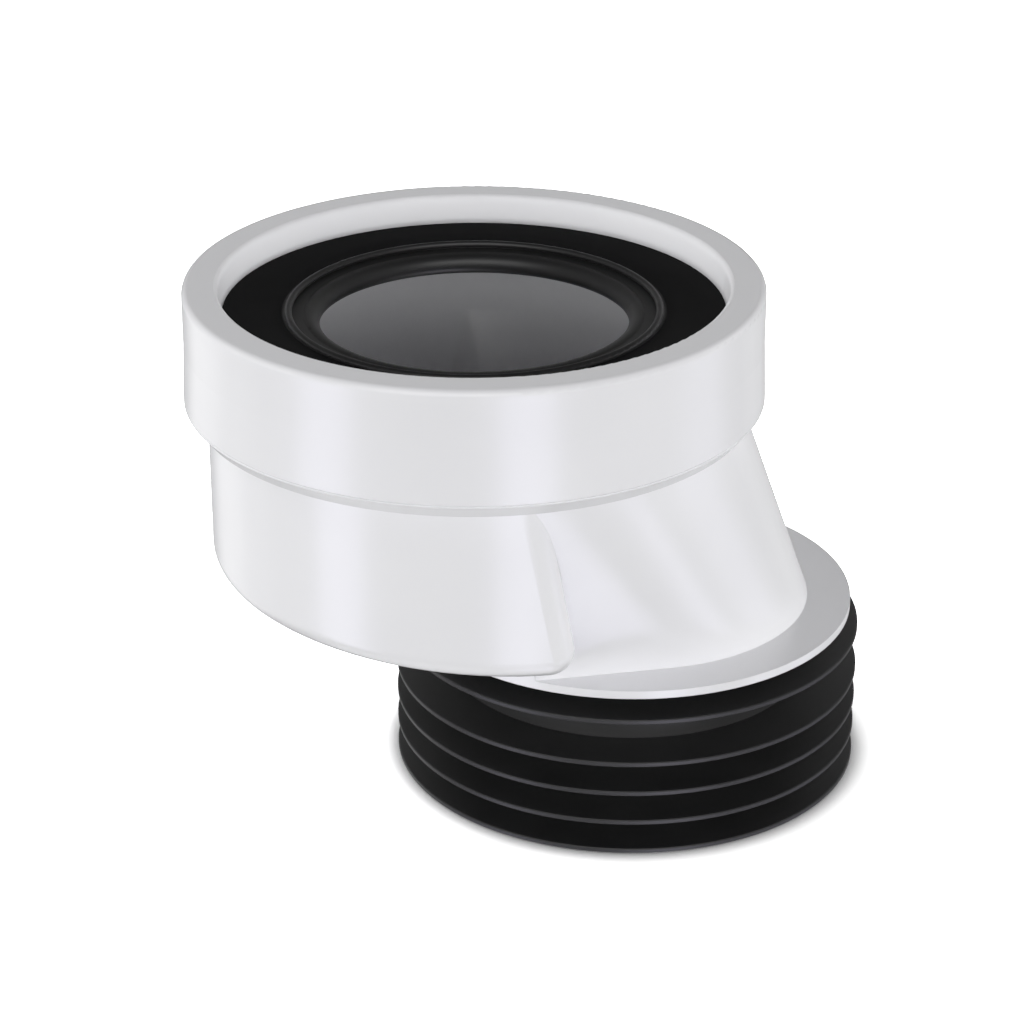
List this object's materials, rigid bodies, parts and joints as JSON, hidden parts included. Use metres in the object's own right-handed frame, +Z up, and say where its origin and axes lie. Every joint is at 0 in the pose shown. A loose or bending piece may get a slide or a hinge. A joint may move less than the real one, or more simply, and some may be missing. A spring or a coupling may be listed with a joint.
{
  "type": "toilet pan connector",
  "caption": "Offset toilet pan connector: a white plastic socket with a rubber inlet seal leads through a slanted duct to a spigot with a finned rubber sleeve that pushes into the soil pipe.",
  "frame": {"origin": "on the outlet axis, in the plane of the lowest fin's underside, on which the part stands", "axes": "+Z up along the outlet and inlet axes, -X from the outlet axis towards the inlet axis, the XZ plane is the mirror plane"},
  "size_m": [0.1579, 0.1332, 0.1207],
  "materials": {
    "white_plastic": "moulded polypropylene, satin gloss",
    "black_rubber": "moulded black rubber, dull"
  },
  "bodies": {
    "root": {"connector_body": "white_plastic", "retaining_collar": "white_plastic", "inlet_seal": "black_rubber", "outlet_fin_seal": "black_rubber"}
  },
  "joints": []
}
